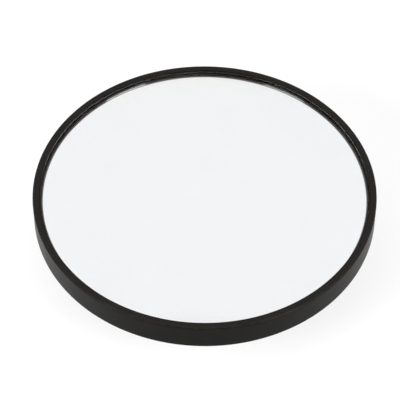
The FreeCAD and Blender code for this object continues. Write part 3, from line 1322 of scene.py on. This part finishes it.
    def build(self) -> None:
        """Make and dress every piece of the head."""
        rim_plastic = MouldedPlastic(
            "rim_plastic",
            rgb(0.0028, 0.0025, 0.0021),
            rgb(0.0044, 0.0040, 0.0034),
            rgb(0.105, 0.092, 0.082),
            specular=0.055,
            roughness=0.36,
            dust_amount=0.3,
            # shoulder band: rubbed wear plus a painted highlight line
            rub_highlight_radius=self.outer_r - 0.4 * MM,
            rub_highlight_height=self.top_z - 0.4 * MM,
            front_height=self.top_z - 0.05 * MM,
            gloss_radius=self.opening_r + 0.15 * MM,
            gloss_height=self.top_z - 0.6 * MM,
        ).material()
        pan_plastic = MouldedPlastic(
            "pan_plastic",
            rgb(0.008, 0.008, 0.008),
            rgb(0.014, 0.014, 0.0135),
            rgb(0.12, 0.115, 0.108),
            roughness=0.55,
            grain_per_m=1700.0,
            grain_depth=0.00006,
        ).material()
        plated = BareMetal(
            "plated_steel", rgb(0.55, 0.55, 0.53), rgb(0.42, 0.40, 0.35), 0.3, Grain.NONE
        ).material()
        # the seal's brown-grey tone is a painted reflection: it stands in for the brownish
        # surroundings reflected at the far rim
        rubber = SoftRubber(
            "seal_painted_reflection", rgb(0.05, 0.043, 0.037), rgb(0.11, 0.098, 0.088)
        ).material()
        head, slot = self.body, "rim_plastic"
        rim = outward(self.rim_surface()).plus(self.boss_surface())
        fit_piece("rim", rim, rim_plastic, head, ["front_bezel"])
        sheet = self.dome_surface(0.0, self.dome_sheet - 0.02 * MM, self.dome_edge_r)
        acrylic = ClearAcrylic().material()
        fit_piece("domed_sheet", sheet, acrylic, head, ["mirror_lens"])
        foot = self.dome_sheet + self.silver
        layer = self.dome_surface(self.dome_sheet, foot, self.silver_edge_r)
        silver = Silvering().material()
        fit_piece("reflective_layer", layer, silver, head, ["mirror_silvering"])
        seal = self.gasket_surface()
        fit_piece("edge_seal", seal, rubber, head, ["lens_gasket"])
        fit_piece("back_pan", self.pan_surface(), pan_plastic, head, ["back_shell"])
        screw = pan_head_screw(
            3.0 * MM, 1.9 * MM, 1.5 * MM, self.pan_z, self.boss_top_z - 3.0 * MM
        )
        spots = ring_spots(self.bezel_screw_count, self.boss_ring_r, self.first_screw_deg)
        fit_piece("rim_screws", copies(screw, spots), plated, head, ["bezel_screws"])
        plate_low, _ = heights("mounting_plate")
        screw = pan_head_screw(3.6 * MM, 2.2 * MM, 2.0 * MM, plate_low, self.plate_screw_tip_z)
        first = self.first_plate_screw_deg
        spots = ring_spots(self.plate_screw_count, self.plate_screw_ring_r, first)
        fit_piece("hub_screws", copies(screw, spots), plated, head, ["plate_screws"])
        fit_piece("hub_plate", self.plate_surface(), plated, head, ["mounting_plate"])
        for name, node in (("thin_nut", "jam_nut"), ("hub_nut", "captive_nut")):
            nut = hexagon_nut(self.nut_flats, *heights(node), self.stud_r)
            fit_piece(name, nut, plated, head, [node])
        fit_piece("spring_washer", self.washer_surface(), plated, head, ["lock_washer"])
        fit_piece("head_stud", self.stud_surface(), plated, head, ["pivot_stud"])
        dress_node("foam_ring", ClosedFoam().material())


# Ball joint


@dataclass
class BallJoint:
    """Ball, nylon seat, clamp ring and its grip."""

    ball_r: float = 11.0 * MM
    ball_z: float = 53.0 * MM
    bore_r: float = 4.05 * MM
    bore_foot_z: float = 45.7 * MM
    collar_r: float = 19.0 * MM
    collar_bore_r: float = 16.05 * MM
    grip_r: float = 21.5 * MM
    flutes: int = 20
    flute_r: float = 1.9 * MM
    flute_out: float = 0.9 * MM
    cone_slope: float = 1.7 / 2.7
    cone_r: float = 14.42 * MM
    cone_z: float = 55.5 * MM
    mouth_z: float = 56.4 * MM

    def ball_surface(self) -> Surface:
        """Sphere with a flat top and a blind bore, its profile starting and ending on Z.

        Returns:
            The closed surface.
        """
        _, flat_z = heights("pivot_ball")
        top = math.asin((flat_z - self.ball_z) / self.ball_r)
        sweep = np.linspace(-math.pi / 2.0, top, 64)
        sphere = np.stack(
            [self.ball_r * np.cos(sweep), self.ball_z + self.ball_r * np.sin(sweep)], 1
        )
        sphere[0, 0] = 0.0
        bore = np.array(
            [
                [self.bore_r + 0.2 * MM, flat_z],
                [self.bore_r, flat_z - 0.2 * MM],
                [self.bore_r, self.bore_foot_z],
                [0.0, self.bore_foot_z],
            ]
        )
        return revolved(np.concatenate([sphere, bore]), 96)

    def collar_surface(self) -> Surface:
        """Clamp ring: bored for the thread below, coned above, with turned edge grooves.

        Returns:
            The closed surface.
        """
        low, high = heights("clamp_collar")
        mouth_z = self.mouth_z
        mouth_r = self.cone_r - self.cone_slope * (mouth_z - self.cone_z)
        lip_r = self.cone_r - self.cone_slope * (high - self.cone_z)
        out = self.collar_r
        corners = [
            (self.collar_bore_r, low, 0.3 * MM),
            (out, low, 0.4 * MM),
            (out, high - 1.5 * MM, 0.3 * MM),
            (out - 1.5 * MM, high, 0.4 * MM),
            (15.2 * MM, high, 0.2 * MM),
            (14.9 * MM, high - 0.35 * MM, 0.15 * MM),
            (14.3 * MM, high - 0.35 * MM, 0.15 * MM),
            (14.0 * MM, high, 0.2 * MM),
            (lip_r, high, 0.35 * MM),
            (mouth_r, mouth_z, 0.1 * MM),
            (self.collar_bore_r, mouth_z, 0.1 * MM),
        ]
        return revolved(subdivided(softened(corners, 6), 1.5 * MM), 160)

    def grip_surface(self) -> Surface:
        """Sleeve with round flutes.

        A flute is a cylinder whose centre lies flute_out beyond the sleeve. At an angle d
        from its middle its wall is at c cos d minus the root of (f squared minus c squared
        sine d squared), where c is the centre's radius and f the flute's radius.

        Returns:
            The closed surface.
        """
        low, high = heights("collar_grip")
        corners = [
            (self.collar_r, low, 0.2 * MM),
            (self.grip_r, low, 0.8 * MM),
            (self.grip_r, high, 0.8 * MM),
            (self.collar_r, high, 0.2 * MM),
        ]
        outline = subdivided(softened(corners, 7), 0.6 * MM)
        centre = self.grip_r + self.flute_out

        def push(angle: np.ndarray, r: np.ndarray, z: np.ndarray) -> np.ndarray:
            """Cut every point back to the nearest flute's wall.

            Args:
                angle: angle of every grid point.
                r: radius of every grid point.
                z: height of every grid point; not used.

            Returns:
                The radial offset.
            """
            step = TAU / self.flutes
            off = np.mod(angle + step / 2.0, step) - step / 2.0
            inside = self.flute_r**2 - (centre * np.sin(off)) ** 2
            wall = centre * np.cos(off) - np.sqrt(np.maximum(inside, 0.0))
            return np.where(inside > 0.0, np.minimum(wall - r, 0.0), 0.0)

        return revolved(outline, self.flutes * 18, push=push)

    def build(self) -> None:
        """Make and dress the ball joint's pieces."""
        polished = BareMetal(
            "polished_steel", rgb(0.72, 0.72, 0.71), rgb(0.6, 0.59, 0.56), 0.16, Grain.NONE
        ).material()
        turned = BareMetal(
            "turned_aluminium",
            rgb(0.58, 0.58, 0.59),
            rgb(0.48, 0.48, 0.48),
            0.3,
            Grain.ROUND_THE_AXIS,
            grain_per_m=5200.0,
        ).material()
        rubber = SoftRubber("grip_rubber").material()
        fit_piece(
            "joint_ball", self.ball_surface(), polished, "ball", ["pivot_ball"]
        )
        ring = self.collar_surface()
        fit_piece(
            "clamp_nut", ring, turned, "clamp_ring", ["clamp_collar"]
        )
        sleeve = self.grip_surface()
        fit_piece("clamp_grip", sleeve, rubber, "clamp_ring", ["collar_grip"])
        dress_node("ball_seat", NaturalNylon().material())


# Wall bracket


@dataclass
class WallBracket:
    """Wall pad, plate, post and socket cup."""

    body: str = "wall_bracket"
    plate_r: float = 45.0 * MM
    hole_r: float = 2.75 * MM
    hole_ring_r: float = 35.0 * MM
    hole_count: int = 4
    flange_r: float = 21.0 * MM
    column_r: float = 12.5 * MM
    cup_r: float = 17.0 * MM
    thread_r: float = 16.0 * MM
    bore_r: float = 14.05 * MM
    bore_z: float = 39.0 * MM
    spigot_r: float = 7.0 * MM
    spigot_height: float = 4.0 * MM
    shoulder_z: float = 44.5 * MM
    first_hole_deg: float = 45.0

    def post_surface(self) -> Surface:
        """Post: flange, waisted column and spigot, its profile closed through the axis.

        Returns:
            The closed surface.
        """
        low, high = heights("bracket_post")
        seat_z = high - self.spigot_height
        corners = [
            (0.0, low, 0.0),
            (self.flange_r, low, 0.4 * MM),
            (self.flange_r, low + 3.5 * MM, 1.2 * MM),
            (self.flange_r - 2.2 * MM, low + 3.9 * MM, 0.6 * MM),
            (self.column_r + 1.4 * MM, low + 7.6 * MM, 5.0 * MM),
            (self.column_r, low + 16.0 * MM, 20.0 * MM),
            (self.column_r, seat_z - 2.4 * MM, 0.2 * MM),
            (self.column_r - 0.5 * MM, seat_z - 2.0 * MM, 0.2 * MM),
            (self.column_r - 0.5 * MM, seat_z - 1.2 * MM, 0.2 * MM),
            (self.column_r, seat_z - 0.8 * MM, 0.2 * MM),
            (self.column_r, seat_z, 0.3 * MM),
            (self.spigot_r, seat_z, 0.0),
            (self.spigot_r, high, 0.2 * MM),
            (0.0, high, 0.0),
        ]
        outline = subdivided(softened(corners, 8, closed=False), 2.0 * MM, closed=False)
        return revolved(outline, 128)

    def cup_surface(self) -> Surface:
        """Socket cup: flared foot, shoulder, threaded wall and the seat's bore.

        Returns:
            The closed surface.
        """
        low, high = heights("socket_cup")
        shoulder_z = self.shoulder_z
        thread = Thread(1.5 * MM, 0.75 * MM, shoulder_z + 0.3 * MM, high, self.thread_r)
        corners_low = [
            (0.0, low + self.spigot_height, 0.0),
            (self.spigot_r, low + self.spigot_height, 0.0),
            (self.spigot_r, low, 0.0),
            (self.column_r + 0.5 * MM, low, 0.4 * MM),
            (self.cup_r, self.bore_z, 3.0 * MM),
            (self.cup_r, shoulder_z, 0.5 * MM),
            (self.thread_r, shoulder_z, 0.0),
        ]
        foot = subdivided(softened(corners_low, 7, closed=False), 1.5 * MM, closed=False)
        rows = thread.rows()
        wall = np.stack([np.full(len(rows), self.thread_r), rows], 1)
        crown = np.array(
            [
                [self.thread_r, high - 0.5 * MM],
                [self.thread_r - 0.5 * MM, high],
                [self.bore_r + 0.3 * MM, high],
                [self.bore_r, high - 0.3 * MM],
                [self.bore_r, self.bore_z],
                [0.0, self.bore_z],
            ]
        )
        wall = wall[wall[:, 1] < high - 0.55 * MM]
        return revolved(np.concatenate([foot, wall, crown]), 128, push=thread.push)

    def build(self) -> None:
        """Make and dress the wall side's pieces."""
        coat = PowderCoat().material()
        steel = BareMetal(
            "screw_steel", rgb(0.55, 0.55, 0.53), rgb(0.42, 0.40, 0.35), 0.3, Grain.NONE
        ).material()
        fit_piece("post", self.post_surface(), coat, self.body, ["bracket_post"])
        fit_piece("cup", self.cup_surface(), coat, self.body, ["socket_cup"])
        low, high = heights("wall_plate")
        corners = [
            (0.0, low, 0.0),
            (self.plate_r, low, 0.3 * MM),
            (self.plate_r, high, 1.4 * MM),
            (0.0, high, 0.0),
        ]
        outline = softened(corners, 8, closed=False)
        plate = fit_piece(
            "base_plate", revolved(outline, 192), coat, self.body, ["wall_plate"]
        )
        cutters = []
        drill = np.array([[0.0, -0.01], [self.hole_r, -0.01], [self.hole_r, 0.02], [0.0, 0.02]])
        for x, y in ring_spots(self.hole_count, self.hole_ring_r, self.first_hole_deg):
            hole = outward(revolved(drill, 48)).moved(x, y)
            cutters.append(make_piece("drill", hole, coat))
        cut_with(plate, cutters)
        dress_node("wall_pad", SoftRubber("pad_rubber").material())
        dress_node("post_screws", steel)


# Studio


@dataclass
class Studio:
    """Pale floor, soft light and the camera."""

    elevation_deg: float = 49.59
    distance: float = 1.2
    lens_mm: float = 123.6
    ring_centre: Tuple[float, float, float] = (0.0, 0.0, 0.099)
    aim_right: float = -0.00395
    aim_up: float = -0.01147
    roll_deg: float = 0.02
    dim_from: float = -0.35
    bright_from: float = 0.1
    horizon_height: float = 0.42
    floor_glow: float = 0.58
    box_spot: Tuple[float, float, float] = (1.26, -0.99, 0.92)
    box_size: Tuple[float, float] = (0.85, 1.1)
    left_watts: float = 26.0
    right_watts: float = 36.0
    floor_r: float = 6.0
    floor_thick: float = 0.02
    sensor_mm: float = 36.0

    def floor(self) -> None:
        """Large round pale floor that glows on its own, more on the left than the right: painted
        light.
        """
        g = Graph.named("studio_floor")
        tone = g.noise(3.0, 2.0, 0.5)
        colour = g.blend(tone, rgb(0.53, 0.53, 0.53), rgb(0.57, 0.57, 0.57))
        across, _, _ = g.axes()
        # the floor's own glow, white on the left fading to grey on the right, is painted light
        # that lifts the shadows round the mirror
        glow = g.blend(across.step(-0.5, 0.5), rgb(1.0, 1.0, 1.0), rgb(0.45, 0.45, 0.45))
        material = g.shade(
            Base_Color=colour,
            Roughness=0.8,
            Specular_IOR_Level=0.1,
            Emission_Color=glow,
            Emission_Strength=self.floor_glow,
        )
        radius, foot = self.floor_r, -self.floor_thick
        outline = np.array([[0.0, foot], [radius, foot], [radius, 0.0], [0.0, 0.0]])
        piece = make_piece("studio_floor", outward(revolved(outline, 96)), material)

    def world(self) -> None:
        """Soft surroundings: bright behind the mirror and above, dim behind the camera."""
        world = bpy.data.worlds.new("studio")
        g = Graph(world)
        facing = g.add("ShaderNodeTexCoord", output="Generated")
        ahead = g.add("ShaderNodeSeparateXYZ", inputs={0: facing}, output=1)
        up = g.add("ShaderNodeSeparateXYZ", inputs={0: facing}, output=2)
        dim, bright = rgb(0.16, 0.16, 0.165), rgb(1.0, 1.0, 1.0)
        colour = g.blend(ahead.step(self.dim_from, self.bright_from), dim, bright)
        band = up.band(0.0, self.horizon_height)
        colour = g.blend(band, colour, rgb(0.97, 0.95, 0.92))
        light = g.add("ShaderNodeBackground", inputs={"Color": colour, "Strength": 1.0})
        g.add("ShaderNodeOutputWorld", inputs={"Surface": light})
        bpy.context.scene.world = world

    def lamp(self, name: str, spot: Sequence[float], watts: float) -> None:
        """Rectangular soft light that faces the mirror's centre.

        Args:
            name: object name.
            spot: where it stands.
            watts: its power.
        """
        data = bpy.data.lights.new(name, "AREA")
        data.shape = "RECTANGLE"
        data.size, data.size_y = self.box_size
        data.energy = watts
        lamp = bpy.data.objects.new(name, data)
        bpy.context.scene.collection.objects.link(lamp)
        lamp.location = spot
        aim = Vector(self.ring_centre) - Vector(spot)
        lamp.rotation_mode = "QUATERNION"
        lamp.rotation_quaternion = aim.to_track_quat("-Z", "Y")

    def camera(self) -> None:
        """Camera above and in front of the mirror, aimed a little below and left of centre."""
        tilt = math.radians(self.elevation_deg)
        back = Vector((0.0, -math.cos(tilt), math.sin(tilt)))
        right = Vector((1.0, 0.0, 0.0))
        up = back.cross(right)
        centre = Vector(self.ring_centre)
        data = bpy.data.cameras.new("camera")
        data.lens = self.lens_mm
        data.sensor_width = self.sensor_mm
        camera = bpy.data.objects.new("camera", data)
        bpy.context.scene.collection.objects.link(camera)
        camera.location = centre + back * self.distance
        aim = centre + right * self.aim_right + up * self.aim_up - camera.location
        turn = aim.to_track_quat("-Z", "Y").to_matrix() @ Matrix.Rotation(
            math.radians(self.roll_deg), 3, "Z"
        )
        camera.rotation_mode = "QUATERNION"
        camera.rotation_quaternion = turn.to_quaternion()
        data.clip_start, data.clip_end = 0.05, 50.0
        bpy.context.scene.camera = camera

    def build(self) -> None:
        """Floor, surroundings, lamps and camera."""
        self.floor()
        self.world()
        x, y, z = self.box_spot
        self.lamp("left_box", (-x, y, z), self.left_watts)
        self.lamp("right_box", (x, y, z), self.right_watts)
        self.camera()
        bpy.context.scene.view_settings.view_transform = "Standard"


def main() -> None:
    """Build the object and its studio."""
    logging.basicConfig(level=logging.INFO, format="%(name)s %(message)s")
    MirrorHead().build()
    BallJoint().build()
    WallBracket().build()
    Studio().build()


if __name__ == "__main__":
    main()
